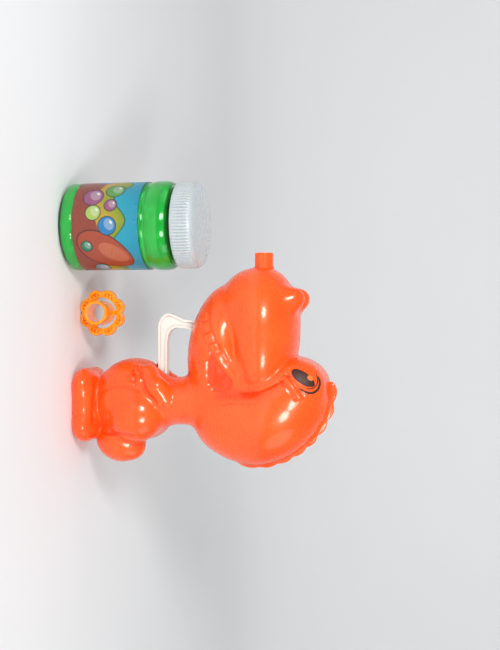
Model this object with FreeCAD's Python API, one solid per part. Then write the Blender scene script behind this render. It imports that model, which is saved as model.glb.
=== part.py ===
"""Hand-pumped dinosaur bubble gun with its dipping ring and a bottle of solution.

Frame, in millimetres: +Z up, origin at the middle of the gun's flat sole. The muzzle points
along -X and the gun's left side along -Y. The casing is split on the plane Y = 0.
"""
import FreeCAD
import Part
import math
import os

V = FreeCAD.Vector
Y_AXIS = V(0, 1, 0)
Z_AXIS = V(0, 0, 1)

# ---- driving dimensions -------------------------------------------------------------------

WALL = 2.0                  # casing wall
CLEAR = 0.05                # radial running clearance of shafts
TOUCH = 0.02                # gap between parts that are pressed or laid together
SEAM_TURN = 37              # turns the seams of round surfaces away from each other
THROUGH = 40                # reach of cutters that go right through

# casing masses: centre (x, y, z), half sizes (x, y, z), lean in degrees about Y
MUZZLE = ((-49.3, 0, 97.8), (25.4, 22.5, 22.0), 0)
JAW = ((-33, 0, 80), (33.5, 22, 17.4), 10)
CRANIUM = ((0.2, 0, 105.5), (24.4, 25, 33.5), -40.7)
CHEEK = ((2, 0, 85), (22.8, 21.5, 22), 0)
NECK = ((-4.2, 0, 58), (12.8, 15.6, 28), 0)
BELLY = ((-4.4, 0, 31), (22.4, 18, 22.5), 0)
TAIL = ((17.2, 0, 25), (10.2, 9, 13.2), 10)
FOOT = ((-1.6, 0, 7.6), (19.4, 18.5, 10.2), 0)
BRIDGE = ((-40, 0, 102.5), (29, 23.5, 17.3), 0)
FOREHEAD = ((-12.5, 0, 109), (18, 22.5, 15), 0)
CENTRE_MASSES = [MUZZLE, BRIDGE, FOREHEAD, JAW, CRANIUM, CHEEK, NECK, BELLY, TAIL, FOOT]
# masses that stand on both sides of the middle plane, given for +Y
BROW = ((-14, 11, 121.5), (13.2, 11.5, 16), 0)
NOSTRIL = ((-56.5, 9, 118.5), (7.4, 7, 8.2), 0)
THIGH = ((3.7, 8.5, 27), (12.5, 12.5, 12.5), 0)
MOUTH_CORNER = ((-21.5, 8, 93.5), (15, 14, 13), 0)
SIDE_MASSES = [BROW, NOSTRIL, THIGH, MOUTH_CORNER]
CREST_T = 2.4               # scalloped fin over the head, on the casing joint
CREST_HEIGHT = 3.6
CREST_LOBES = 8
CREST_SPAN = (116, -32)     # degrees about the middle of the cranium

# air outlet
NOZZLE_R = 4.85
NOZZLE_BORE_R = 3.85
NOZZLE_Z = 101.5
NOZZLE_TIP_X = -82.4
NOZZLE_TAIL_X = -60.5
NOZZLE_STEP_X = -75.0       # the tube is thicker behind this shoulder
NOZZLE_ROOT_R = 5.4
NOZZLE_FLANGE_X = -68.4
NOZZLE_FLANGE_R = 7.0
NOZZLE_FLANGE_T = 1.4

# gear train, in the plane XZ
MODULE = 0.8
ADDENDUM = 0.6
DEDENDUM = 0.85
BACKLASH = 0.14             # taken off each tooth's width
PRESSURE = math.radians(20)
SECTOR_TEETH = 60
PINION_TEETH = 12
WHEEL_ONE_TEETH = 40
WHEEL_TWO_TEETH = 36
PIVOT = (-39.0, 95.0)       # trigger hinge
LINE_ONE = -20              # degrees from the pivot to gear one
LINE_TWO = 25               # degrees from gear one to gear two
LINE_FAN = 140              # degrees from gear two to the fan axle

# the cassette's planes across the gun
PLATE_LEFT = (-9.8, -8.4)
PLATE_RIGHT = (2.8, 4.2)
SECTOR_Y = (-1.8, 1.8)
PINION_ONE_Y = (-1.9, 1.9)
WHEEL_ONE_Y = (-4.6, -2.2)
PINION_TWO_Y = (-4.8, -2.1)
WHEEL_TWO_Y = (-7.6, -5.2)
FAN_PINION_Y = (-7.8, -5.1)
POSTS = [(-33, 107), (10.5, 116), (10.5, 76.5), (-26.5, 69.5)]
POST_R = 2.0
PLATE_EDGE = 3.5            # from a post to the edge of the plate
AXLE_R = 1.0
FAN_AXLE_R = 1.2
BUSH_R = 2.4
TRIGGER_PIN_R = 1.5
HUB_R = 2.3
SHOULDER_R = 3.6            # round the hub, between pinion and wheel
END_PLAY = 0.15             # gears between the plates

# blower
FAN_R = 12.6
FAN_BLADES = 8
FAN_BACK_Y = 6.3
FAN_DISC_T = 1.0
FAN_TIP_Y = 12.2
HOUSING_Y = (4.35, 13.0)
HOUSING_T = 1.2
SCROLL_R = (13.6, 17.2)     # chamber radius after the tongue and at the outlet
SCROLL_ANGLES = (215, -90)  # where the spiral starts and ends
COVER_SCREW_ANGLES = (40, 110, 195, -55)
EYE_R = 7.5
OUTLET_H = 9.2
OUTLET_X = -23.0

# trigger
TRIGGER_W = 5.0
TRIGGER_WEB_W = 2.0
SLOT_HALF = 3.2

# screws
CASE_BOSSES = [(0, 130.5), (20.5, 111), (5, 64.5), (-58, 84), (-44, 112.5), (-6, 22)]
BOSS_R = 3.0
SCREW_R = 1.25
SCREW_HEAD_R = 2.4
SCREW_HEAD_T = 1.6
SCREW_SEAT_Y = 6.0
SCREW_TIP_Y = -7.0

# dipping ring, standing on two lobes, collar towards -Y
RING_X = -51.0
RING_Y = 0.0
RING_PLATE_T = 4.4
RING_PITCH_R = 8.2          # where the lobes are centred
RING_LOBES = 8
RING_LOBE_R = 4.7
RING_COLLAR_R = 6.3
RING_BORE_R = 4.95
RING_REACH = 10.0
RING_RIM_R = 8.2
RING_SPOKE_W = 2.6

# bottle
BOTTLE_X = -96.5
BOTTLE_Y = -14.0
BOTTLE_WALL = 1.1
NECK_R = 19.4
THREAD_DEPTH = 0.9
THREAD_PITCH = 3.0
THREAD_TURNS = 1.3
THREAD_ROOT = 0.5           # how deep the ridge sits in the wall
THREAD_FACETS = 20          # per turn
CAP_R = 22.5
CAP_INNER_R = 20.7
CAP_Z = 59.6
CAP_TOP = 73.0
CAP_RIBS = 60
MOUTH_Z = 69.6
LABEL_T = 0.25


# ---- helpers ------------------------------------------------------------------------------

def ellipsoid(mass, shrink=0.0, mirror=1):
    """One casing mass, made smaller all round by shrink."""
    (x, y, z), half_sizes, lean = mass
    scale = FreeCAD.Matrix()
    scale.scale(*[half - shrink for half in half_sizes])
    ball = Part.makeSphere(1.0)
    ball.rotate(V(0, 0, 0), V(1, 0, 0), 90)
    ball.rotate(V(0, 0, 0), Y_AXIS, SEAM_TURN)
    body = ball.transformGeometry(scale)
    body.rotate(V(0, 0, 0), Y_AXIS, lean)
    body.translate(V(x, mirror * y, z))
    return body


def casing_volume(shrink=0.0):
    """The casing's outer form, or its hollow when shrunk by the wall."""
    pieces = [ellipsoid(mass, shrink) for mass in CENTRE_MASSES]
    for side in (-1, 1):
        pieces += [ellipsoid(mass, shrink, side) for mass in SIDE_MASSES]
    volume = pieces[0].multiFuse(pieces[1:])
    floor = WALL if shrink else 0.0
    below = Part.makeBox(200, 100, 50, V(-100, -50, floor - 50))
    return volume.cut(below)


def rod(point, radius, y_from, y_to):
    """A cylinder across the gun, through a point (x, z)."""
    start = V(point[0], y_from, point[1])
    return Part.makeCylinder(radius, y_to - y_from, start, Y_AXIS)


def tube(point, outer, inner, y_from, y_to):
    """A cylinder across the gun with a hole through it."""
    return rod(point, outer, y_from, y_to).cut(rod(point, inner, y_from - 1, y_to + 1))


def slab(points, y_from, y_to):
    """A flat polygon of (x, z) points, given a thickness across the gun."""
    corners = [V(x, y_from, z) for x, z in points]
    face = Part.Face(Part.makePolygon(corners + corners[:1]))
    return face.extrude(V(0, y_to - y_from, 0))


def polar(centre, radius, degrees):
    """A point in the plane XZ, anticlockwise from +X towards +Z."""
    angle = math.radians(degrees)
    return (centre[0] + radius * math.cos(angle), centre[1] + radius * math.sin(angle))


def rounded_plate(points, radius, y_from, y_to):
    """A flat plate round a convex set of points, with round corners."""
    plate = None
    for index, point in enumerate(points):
        following = points[(index + 1) % len(points)]
        along = math.degrees(math.atan2(following[1] - point[1], following[0] - point[0]))
        side = [polar(point, radius, along + 90), polar(following, radius, along + 90),
                polar(following, radius, along - 90), polar(point, radius, along - 90)]
        piece = slab(side, y_from, y_to).fuse(rod(point, radius, y_from, y_to))
        plate = piece if plate is None else plate.fuse(piece)
    return plate.fuse(slab(points, y_from, y_to)).removeSplitter()


def revolve(profile, x, y):
    """A closed (radius, z) outline turned about an upright axis at x, y."""
    corners = [V(x + radius, y, z) for radius, z in profile]
    face = Part.Face(Part.makePolygon(corners + corners[:1]))
    return face.revolve(V(x, y, 0), Z_AXIS, 360)


# ---- gear train ---------------------------------------------------------------------------

def pitch_radius(teeth):
    return MODULE * teeth / 2


GEAR_ONE = polar(PIVOT, pitch_radius(SECTOR_TEETH + PINION_TEETH), LINE_ONE)
GEAR_TWO = polar(GEAR_ONE, pitch_radius(WHEEL_ONE_TEETH + PINION_TEETH), LINE_TWO)
FAN = polar(GEAR_TWO, pitch_radius(WHEEL_TWO_TEETH + PINION_TEETH), LINE_FAN)


def flank_angle(radius, teeth):
    """Half the tooth's angle at a radius on an involute flank."""
    pitch_r = pitch_radius(teeth)
    base_r = pitch_r * math.cos(PRESSURE)
    half_at_pitch = math.pi / (2 * teeth) - BACKLASH / (2 * pitch_r)
    at_pitch = math.tan(PRESSURE) - PRESSURE
    slope = math.acos(min(1.0, base_r / radius))
    return half_at_pitch + at_pitch - (math.tan(slope) - slope)


def tooth_outline(teeth):
    """One tooth about angle 0, as (radius, angle) pairs from one root to the other."""
    pitch_r = pitch_radius(teeth)
    root_r = pitch_r - DEDENDUM
    base_r = max(root_r, pitch_r * math.cos(PRESSURE))
    tip_r = pitch_r + ADDENDUM
    steps = 4
    radii = [base_r + (tip_r - base_r) * step / steps for step in range(steps + 1)]
    left = [(radius, -flank_angle(radius, teeth)) for radius in radii]
    if base_r > root_r:
        left.insert(0, (root_r, left[0][1]))
    right = [(radius, -angle) for radius, angle in reversed(left)]
    return left + right


def gear(centre, teeth, y_from, y_to, tooth_at):
    """A spur gear with a tooth centred at the angle tooth_at, in degrees."""
    points = []
    for index in range(teeth):
        turn = math.radians(tooth_at) + 2 * math.pi * index / teeth
        for radius, angle in tooth_outline(teeth):
            points.append((centre[0] + radius * math.cos(turn + angle),
                           centre[1] + radius * math.sin(turn + angle)))
    return slab(points, y_from, y_to)


def meshed(line, teeth):
    """Tooth angle of a gear whose gap takes a tooth coming along the line of centres."""
    return line + 180 + 180 / teeth


def lightened(wheel, centre, radius, hole_r, count, y_from, y_to):
    """A wheel with round holes through its web."""
    for index in range(count):
        spot = polar(centre, radius, 360 * index / count + 15)
        wheel = wheel.cut(rod(spot, hole_r, y_from - 1, y_to + 1))
    return wheel


def gear_pair(centre, pinion_y, pinion_line, wheel_teeth, wheel_y, wheel_line, holes):
    """A pinion and a wheel moulded on one hub; the pinion's mate comes along its line."""
    body = gear(centre, PINION_TEETH, *pinion_y, meshed(pinion_line, PINION_TEETH))
    wheel = gear(centre, wheel_teeth, *wheel_y, wheel_line)
    ring_r, hole_r, count = holes
    wheel = lightened(wheel, centre, ring_r, hole_r, count, *wheel_y)
    hub = rod(centre, HUB_R, PLATE_LEFT[1] + END_PLAY, PLATE_RIGHT[0] - END_PLAY)
    shoulder = rod(centre, SHOULDER_R, wheel_y[1] - 0.5, pinion_y[0] + 0.5)
    body = body.fuse([wheel, hub, shoulder])
    return body.cut(rod(centre, AXLE_R + CLEAR, -THROUGH, THROUGH))


def gear_one():
    """Pinion on the trigger's sector and the first wheel."""
    return gear_pair(GEAR_ONE, PINION_ONE_Y, LINE_ONE,
                     WHEEL_ONE_TEETH, WHEEL_ONE_Y, LINE_TWO, (9.2, 2.8, 6))


def gear_two():
    """Second pinion and wheel."""
    return gear_pair(GEAR_TWO, PINION_TWO_Y, LINE_TWO,
                     WHEEL_TWO_TEETH, WHEEL_TWO_Y, LINE_FAN, (8.4, 2.4, 6))


def fan_pinion():
    body = gear(FAN, PINION_TEETH, *FAN_PINION_Y, meshed(LINE_FAN, PINION_TEETH))
    body = body.fuse(rod(FAN, HUB_R, FAN_PINION_Y[1] - 0.5, FAN_PINION_Y[1] + 2.0))
    return body.cut(rod(FAN, FAN_AXLE_R + TOUCH, -THROUGH, THROUGH))


# ---- cassette -----------------------------------------------------------------------------

def gear_plate(span, axle_holes):
    """One side plate of the cassette."""
    corners = [PIVOT, POSTS[3], POSTS[2], POSTS[1], POSTS[0]]
    plate = rounded_plate(corners, PLATE_EDGE, *span)
    plate = plate.cut(rod(PIVOT, TRIGGER_PIN_R + TOUCH, -THROUGH, THROUGH))
    plate = plate.cut(rod(FAN, BUSH_R + TOUCH, -THROUGH, THROUGH))
    for centre in axle_holes:
        plate = plate.cut(rod(centre, AXLE_R + TOUCH, -THROUGH, THROUGH))
    for post in POSTS:
        plate = plate.cut(rod(post, SCREW_R + TOUCH, -THROUGH, THROUGH))
    return plate


def plate_posts():
    """Four tubes that keep the plates apart."""
    posts = [tube(post, POST_R, SCREW_R + TOUCH, PLATE_LEFT[1] + TOUCH, PLATE_RIGHT[0] - TOUCH)
             for post in POSTS]
    return Part.makeCompound(posts)


def pan_screw(point, seat_y, tip_y, head_r=SCREW_HEAD_R, shank_r=SCREW_R - TOUCH):
    """A pan-head screw with a cross slot, its head towards +Y."""
    head = rod(point, head_r, seat_y + TOUCH, seat_y + SCREW_HEAD_T)
    rim = [edge for edge in head.Edges if abs(edge.CenterOfMass.y - seat_y - SCREW_HEAD_T) < 0.01]
    head = head.makeFillet(0.6, rim)
    screw = head.fuse(rod(point, shank_r, tip_y, seat_y + 0.5))
    top = seat_y + SCREW_HEAD_T
    for width, height in ((2.6, 0.6), (0.6, 2.6)):
        corner = V(point[0] - width / 2, top - 0.8, point[1] - height / 2)
        screw = screw.cut(Part.makeBox(width, 2, height, corner))
    return screw


def gearbox_screws():
    """The screws that hold the cassette to the left casing half."""
    screws = [pan_screw(post, PLATE_RIGHT[1], PLATE_LEFT[0] - 3.5, 2.0) for post in POSTS]
    return Part.makeCompound(screws)


def fan_bush(span, outward):
    """A flanged bush for the fan axle, its flange towards the gears."""
    inner = span[1] if outward < 0 else span[0]
    flange = (inner, inner + 0.4) if outward < 0 else (inner - 0.4, inner)
    body = rod(FAN, BUSH_R, *span).fuse(rod(FAN, BUSH_R + 0.8, *flange))
    return body.cut(rod(FAN, FAN_AXLE_R + CLEAR, -THROUGH, THROUGH))


# ---- trigger ------------------------------------------------------------------------------

TRIGGER_OUTER = [(-43.4, 93), (-44.6, 78), (-46.7, 65.7), (-47.3, 58.8), (-49.4, 54.2), (-50.8, 50.6),
                 (-50.3, 48), (-48.2, 45.8), (-45.6, 44.6), (-42.9, 44.2), (-17.5, 44.4)]
TRIGGER_INNER = [(-17.5, 49.0), (-35.5, 49.2), (-39.6, 49.9), (-41.9, 51.4), (-43.1, 54),
                 (-42.9, 58.8), (-40.9, 65.7), (-38.5, 78), (-36.6, 91)]


def inset_outline(outer, inner, inset):
    """The lever's outline drawn in towards its middle line."""
    shape = slab(outer + inner, 0, 1)
    face = [item for item in shape.Faces if abs(item.CenterOfMass.y) < 1e-6][0]
    return face.OuterWire.makeOffset2D(-inset)


def trigger():
    """Lever of I section with its hub and toothed sector."""
    half = TRIGGER_W / 2
    lever = slab(TRIGGER_OUTER + TRIGGER_INNER, -half, half)
    pocket_wire = inset_outline(TRIGGER_OUTER, TRIGGER_INNER, 1.1)
    depth = (TRIGGER_W - TRIGGER_WEB_W) / 2
    for low in (-half, half - depth):
        pocket = Part.Face(pocket_wire.copy())
        pocket.translate(V(0, low, 0))
        pocket = pocket.extrude(V(0, depth, 0))
        above_jaw = Part.makeBox(60, 20, 60, V(-60, -10, 70))
        lever = lever.cut(pocket.cut(above_jaw))
    sector_r = pitch_radius(SECTOR_TEETH)
    full = gear(PIVOT, SECTOR_TEETH, *SECTOR_Y, LINE_ONE)
    full = full.cut(rod(PIVOT, sector_r - 3.2, -10, 10))
    web = rod(PIVOT, sector_r - 2.5, -TRIGGER_WEB_W / 2, TRIGGER_WEB_W / 2)
    spread = [PIVOT] + [polar(PIVOT, 40, LINE_ONE + angle) for angle in (-28, -14, 0, 14)]
    wedge = slab(spread, -10, 10)
    body = lever.fuse([full.common(wedge), web.common(wedge), rod(PIVOT, 4.6, -half, half)])
    return body.cut(rod(PIVOT, TRIGGER_PIN_R + CLEAR, -THROUGH, THROUGH))


def trigger_spring():
    """Torsion spring round the pin: a coil with one leg on the lever and one on a post."""
    wire_r, coil_r, pitch, turns, sides = 0.35, 3.3, 0.95, 4, 8
    start_y = -7.7
    helix = Part.makeHelix(pitch, turns * pitch, coil_r)
    helix.rotate(V(0, 0, 0), V(1, 0, 0), -90)
    helix.translate(V(PIVOT[0], start_y, PIVOT[1]))
    first = V(PIVOT[0] + coil_r, start_y, PIVOT[1])
    corners = []
    for index in range(sides):
        angle = 2 * math.pi * (index + 0.5) / sides
        corners.append(first + V(wire_r * math.cos(angle), wire_r * math.sin(angle), 0))
    section = Part.makePolygon(corners + corners[:1])
    coil = Part.Wire(helix.Edges).makePipeShell([section], True, True)
    last = first + V(0, turns * pitch, 0)
    leg_up = Part.makeCylinder(wire_r, 7, first + V(0, 0, 0.2), V(0, 0, 1))
    leg_down = Part.makeCylinder(wire_r, 13, last - V(0, 0, 0.2), V(0, 0, -1))
    return Part.makeCompound([coil, leg_up, leg_down])


# ---- blower -------------------------------------------------------------------------------

OUTLET_Z = (FAN[1] - SCROLL_R[1], FAN[1] - SCROLL_R[1] + OUTLET_H)


def scroll_radius(angle):
    """The spiral chamber's radius at an angle in degrees."""
    share = (angle - SCROLL_ANGLES[0]) / (SCROLL_ANGLES[1] - SCROLL_ANGLES[0])
    return SCROLL_R[0] + (SCROLL_R[1] - SCROLL_R[0]) * share


def scroll(extra, y_from, y_to):
    """Spiral chamber that widens clockwise round to an outlet at the bottom, facing -X."""
    steps = 30
    points = []
    for index in range(steps + 1):
        angle = SCROLL_ANGLES[0] + (SCROLL_ANGLES[1] - SCROLL_ANGLES[0]) * index / steps
        points.append(polar(FAN, scroll_radius(angle) + extra, angle))
    chamber = slab(points + [FAN], y_from, y_to)
    low, high = OUTLET_Z[0] - extra, OUTLET_Z[1] + extra
    channel = Part.makeBox(FAN[0] - OUTLET_X, y_to - y_from, high - low, V(OUTLET_X, y_from, low))
    core = rod(FAN, SCROLL_R[0] + extra, y_from, y_to)
    return chamber.fuse([channel, core])


def fan_housing():
    """Spiral chamber, open towards the cover, with its outlet stub."""
    outer = scroll(HOUSING_T, *HOUSING_Y)
    inner = scroll(0, HOUSING_Y[0] + HOUSING_T, HOUSING_Y[1] + 1)
    channel = Part.makeBox(20, HOUSING_Y[1] - HOUSING_Y[0] - HOUSING_T, OUTLET_Z[1] - OUTLET_Z[0],
                           V(OUTLET_X - 15, HOUSING_Y[0] + HOUSING_T, OUTLET_Z[0]))
    body = outer.cut(inner).cut(channel)
    body = body.cut(rod(FAN, BUSH_R + 0.3, -THROUGH, THROUGH))
    for spot in cover_screw_spots():
        lug = rod(spot, 2.2, HOUSING_Y[0], HOUSING_Y[1]).cut(inner)
        body = body.fuse(lug).cut(rod(spot, 0.9, HOUSING_Y[0] + 2, 20))
    return body


def cover_screw_spots():
    return [polar(FAN, scroll_radius(angle) + 2.7, angle) for angle in COVER_SCREW_ANGLES]


def fan_cover():
    """Lid of the blower, with the round inlet and a raised lip round it."""
    lid = scroll(HOUSING_T, HOUSING_Y[1] + TOUCH, HOUSING_Y[1] + HOUSING_T)
    lip = rod(FAN, EYE_R + 1.0, HOUSING_Y[1] + TOUCH, HOUSING_Y[1] + HOUSING_T + 1.0)
    lid = lid.fuse(lip)
    for spot in cover_screw_spots():
        lid = lid.fuse(rod(spot, 2.2, HOUSING_Y[1] + TOUCH, HOUSING_Y[1] + HOUSING_T))
        lid = lid.cut(rod(spot, 0.95, -THROUGH, THROUGH))
    return lid.cut(rod(FAN, EYE_R, -THROUGH, THROUGH))


def fan_cover_screws():
    screws = []
    for spot in cover_screw_spots():
        screws.append(pan_screw(spot, HOUSING_Y[1] + HOUSING_T, HOUSING_Y[1] - 6, 1.8, 0.86))
    return Part.makeCompound(screws)


def impeller():
    """Disc with straight radial blades on a hub."""
    disc = rod(FAN, FAN_R, FAN_BACK_Y, FAN_BACK_Y + FAN_DISC_T)
    hub = rod(FAN, 3.0, FAN_BACK_Y, FAN_TIP_Y)
    body = disc.fuse(hub)
    for index in range(FAN_BLADES):
        blade = Part.makeBox(FAN_R - 0.4, FAN_TIP_Y - FAN_BACK_Y - 0.5, 1.0,
                             V(FAN[0], FAN_BACK_Y + 0.5, FAN[1] - 0.5))
        blade.rotate(V(FAN[0], 0, FAN[1]), Y_AXIS, 360 * index / FAN_BLADES)
        body = body.fuse(blade)
    body = body.common(rod(FAN, FAN_R, FAN_BACK_Y - 1, FAN_TIP_Y + 1))
    return body.cut(rod(FAN, FAN_AXLE_R + TOUCH, -THROUGH, THROUGH))


# the duct's hollow section at three stations: x, y range, z range
DUCT_STATIONS = [
    (OUTLET_X - TOUCH, (5.6, 12.9), (OUTLET_Z[0] + 0.1, OUTLET_Z[1] - 0.1)),
    (-46.0, (5.4, 12.2), (92.5, 101.5)),
    (-58.0, (-3.4, 3.4), (98.1, 104.9)),
]


def duct_loft(grow):
    """Straight-sided loft through the duct's stations."""
    wires = []
    for x, (y_low, y_high), (z_low, z_high) in DUCT_STATIONS:
        corners = [V(x, y_low - grow, z_low - grow), V(x, y_high + grow, z_low - grow),
                   V(x, y_high + grow, z_high + grow), V(x, y_low - grow, z_high + grow)]
        wires.append(Part.makePolygon(corners + corners[:1]))
    return Part.makeLoft(wires, True, True)


def air_duct():
    """Duct from the blower to a sleeve over the nozzle tube's tail."""
    sleeve_x = (NOZZLE_TAIL_X - 5, DUCT_STATIONS[-1][0])
    along = V(1, 0, 0)
    sleeve = Part.makeCylinder(NOZZLE_ROOT_R + 1.1, sleeve_x[1] - sleeve_x[0],
                               V(sleeve_x[0], 0, NOZZLE_Z), along)
    seat_from = V(NOZZLE_TAIL_X - 30 + TOUCH, 0, NOZZLE_Z)
    seat = Part.makeCylinder(NOZZLE_ROOT_R + TOUCH, 30, seat_from, along)
    throat = Part.makeBox(6, 6.8, 6.8, V(sleeve_x[1] - 5, -3.4, 98.1))
    return duct_loft(1.0).fuse(sleeve).cut(duct_loft(0.0)).cut(seat).cut(throat)


def nozzle_tube():
    """Round outlet: a nub for the ring's collar, a thicker root and a flange the casing traps."""
    along = V(1, 0, 0)
    length = NOZZLE_TAIL_X - NOZZLE_TIP_X
    barrel = Part.makeCylinder(NOZZLE_R, length, V(NOZZLE_TIP_X, 0, NOZZLE_Z), along)
    tip = [edge for edge in barrel.Edges if abs(edge.CenterOfMass.x - NOZZLE_TIP_X) < 0.01]
    barrel = barrel.makeFillet(0.4, tip)
    root = Part.makeCylinder(NOZZLE_ROOT_R, NOZZLE_TAIL_X - NOZZLE_STEP_X,
                             V(NOZZLE_STEP_X, 0, NOZZLE_Z), along)
    flange = Part.makeCylinder(NOZZLE_FLANGE_R, NOZZLE_FLANGE_T,
                               V(NOZZLE_FLANGE_X, 0, NOZZLE_Z), along)
    bore = Part.makeCylinder(NOZZLE_BORE_R, length + 2, V(NOZZLE_TIP_X - 1, 0, NOZZLE_Z), along)
    return barrel.fuse([root, flange]).cut(bore)


# ---- casing -------------------------------------------------------------------------------

def cranium_radius(degrees):
    """The cranium's outline in the plane XZ, as a radius at an angle from +X."""
    (half_x, _, half_z), lean = CRANIUM[1:]
    turn = math.radians(degrees + lean)
    return 1 / math.hypot(math.cos(turn) / half_x, math.sin(turn) / half_z)


def crest():
    """Fin over the head with a scalloped edge that fades out at its ends."""
    middle = (CRANIUM[0][0], CRANIUM[0][2])
    steps = 10 * CREST_LOBES
    edge = []
    for index in range(steps + 1):
        share = index / steps
        degrees = CREST_SPAN[0] + (CREST_SPAN[1] - CREST_SPAN[0]) * share
        scallop = 0.45 + 0.55 * abs(math.sin(math.pi * CREST_LOBES * share))
        height = CREST_HEIGHT * (1 - 0.5 * share) * scallop
        edge.append(polar(middle, cranium_radius(degrees) + height, degrees))
    return slab(edge + [middle], -CREST_T / 2, CREST_T / 2)


def case_slots():
    """Openings for the trigger in the chest and under the jaw, and for the nozzle."""
    chest = Part.makeBox(24, 2 * SLOT_HALF, 15, V(-32, -SLOT_HALF, 42.2))
    jaw = Part.makeBox(17.5, 2 * SLOT_HALF, 16, V(-49, -SLOT_HALF, 58))
    snout = Part.makeCylinder(NOZZLE_ROOT_R + TOUCH, 20, V(-85, 0, NOZZLE_Z), V(1, 0, 0))
    return [chest, jaw, snout]


def nozzle_rib():
    """Wall behind the nozzle's flange."""
    x = NOZZLE_FLANGE_X + NOZZLE_FLANGE_T + TOUCH
    rib = Part.makeCylinder(13, 1.3, V(x, 0, NOZZLE_Z), V(1, 0, 0))
    return rib.cut(Part.makeCylinder(NOZZLE_ROOT_R + TOUCH, 3, V(x - 1, 0, NOZZLE_Z), V(1, 0, 0)))


def casing_half(side, outer, hollow):
    """The left (-1) or right (+1) half of the casing, with its bosses."""
    near = 0.01 * side
    far = 60 * side
    span = (min(near, far), max(near, far))
    half_space = Part.makeBox(300, span[1] - span[0], 200, V(-150, span[0], -10))
    inside = [rod(spot, BOSS_R, *span) for spot in CASE_BOSSES]
    if side < 0:
        inside += [rod(post, BOSS_R, -60, PLATE_LEFT[0] - TOUCH) for post in POSTS]
    inside.append(nozzle_rib())
    cavity = hollow.common(half_space)
    for feature in inside:
        cavity = cavity.cut(feature)
    half = outer.common(half_space).cut(cavity)
    for spot in CASE_BOSSES:
        if side < 0:
            half = half.cut(rod(spot, SCREW_R, SCREW_TIP_Y - 0.5, 1))
        else:
            half = half.cut(rod(spot, SCREW_R + 0.1, -1, 60))
            half = half.cut(rod(spot, SCREW_HEAD_R + 0.2, SCREW_SEAT_Y, 60))
    if side < 0:
        for post in POSTS:
            half = half.cut(rod(post, SCREW_R, PLATE_LEFT[0] - 4, 1))
    else:
        for offset in (-9, -6, -3, 0, 3, 6, 9):
            reach = math.sqrt(12 ** 2 - offset ** 2) * 0.9
            corner = V(FAN[0] - reach, HOUSING_Y[1] + 2, FAN[1] + offset - 0.6)
            half = half.cut(Part.makeBox(2 * reach, 40, 1.2, corner))
    for slot in case_slots():
        half = half.cut(slot)
    solids = sorted(half.Solids, key=lambda solid: solid.Volume)
    return solids[-1]


def shell_screws():
    screws = [pan_screw(spot, SCREW_SEAT_Y, SCREW_TIP_Y) for spot in CASE_BOSSES]
    return Part.makeCompound(screws)


# ---- dipping ring -------------------------------------------------------------------------

def bubble_ring():
    """Scalloped plate with crescent openings and a collar that fits over the nozzle."""
    down_tilt = 180 / RING_LOBES - 90
    lobe_height = RING_PITCH_R * math.cos(math.radians(180 / RING_LOBES)) + RING_LOBE_R
    centre = (RING_X, lobe_height)
    back = RING_Y + RING_PLATE_T / 2
    front = RING_Y - RING_PLATE_T / 2
    lobes = [rod(polar(centre, RING_PITCH_R, down_tilt + 360 * index / RING_LOBES),
                 RING_LOBE_R, front, back) for index in range(RING_LOBES)]
    plate = rod(centre, RING_PITCH_R, front, back).fuse(lobes)
    plate = plate.cut(tube(centre, RING_RIM_R, RING_COLLAR_R - 0.6, front - 1, back + 1))
    for angle in (30, 150, 270):
        corner = V(centre[0], front + 0.6, centre[1] - RING_SPOKE_W / 2)
        spoke = Part.makeBox(RING_RIM_R + 0.6, RING_PLATE_T - 1.2, RING_SPOKE_W, corner)
        spoke.rotate(V(centre[0], 0, centre[1]), Y_AXIS, angle)
        plate = plate.fuse(spoke)
    collar = rod(centre, RING_COLLAR_R, front - RING_REACH, back)
    body = plate.fuse(collar)
    return body.cut(rod(centre, RING_BORE_R, front - RING_REACH - 1, back + 1))


# ---- bottle -------------------------------------------------------------------------------

# outside of the bottle from its foot to its neck: radius, height
BOTTLE_OUTLINE = [(19.0, 0), (21.4, 0.5), (22.6, 1.8), (23.0, 3.6), (22.9, 7.2), (22.75, 7.5),
                  (22.75, 44.0), (22.9, 44.3), (22.2, 45.2), (22.2, 46.2), (23.0, 47.4),
                  (23.3, 49.5), (23.3, 53.0), (22.9, 55.4), (21.8, 57.4), (20.2, 58.6),
                  (NECK_R, 59.2), (NECK_R, MOUTH_Z)]


def thread(radius, z_from, turns, outward):
    """A helical ridge of triangular section, in flat facets, on a cylinder of the radius."""
    root = radius - THREAD_ROOT * outward
    tip = radius + THREAD_DEPTH * outward
    section = [(root, -0.75), (tip, -0.2), (tip, 0.2), (root, 0.75)]
    steps = round(THREAD_FACETS * turns)
    rows = []
    for step in range(steps + 1):
        angle = 2 * math.pi * turns * step / steps
        z = z_from + THREAD_PITCH * turns * step / steps
        rows.append([V(BOTTLE_X + r * math.cos(angle), BOTTLE_Y + r * math.sin(angle), z + rise)
                     for r, rise in section])
    facets = [rows[0], rows[-1]]
    for row, following in zip(rows, rows[1:]):
        for low in range(4):
            high = (low + 1) % 4
            facets.append([row[low], row[high], following[high]])
            facets.append([row[low], following[high], following[low]])
    faces = [Part.Face(Part.makePolygon(corners + corners[:1])) for corners in facets]
    return Part.Solid(Part.Shell(faces))


def bottle():
    """Hollow bottle with a wide threaded neck."""
    inside = [(max(radius - BOTTLE_WALL, 0), max(z, BOTTLE_WALL)) for radius, z in BOTTLE_OUTLINE]
    outer = revolve([(0, 0)] + BOTTLE_OUTLINE + [(0, MOUTH_Z)], BOTTLE_X, BOTTLE_Y)
    inner = revolve([(0, BOTTLE_WALL)] + inside + [(0, MOUTH_Z)], BOTTLE_X, BOTTLE_Y)
    ridge = thread(NECK_R, 61.6, THREAD_TURNS, 1)
    return outer.fuse(ridge).cut(inner)


FILL_Z = 57.0


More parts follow.
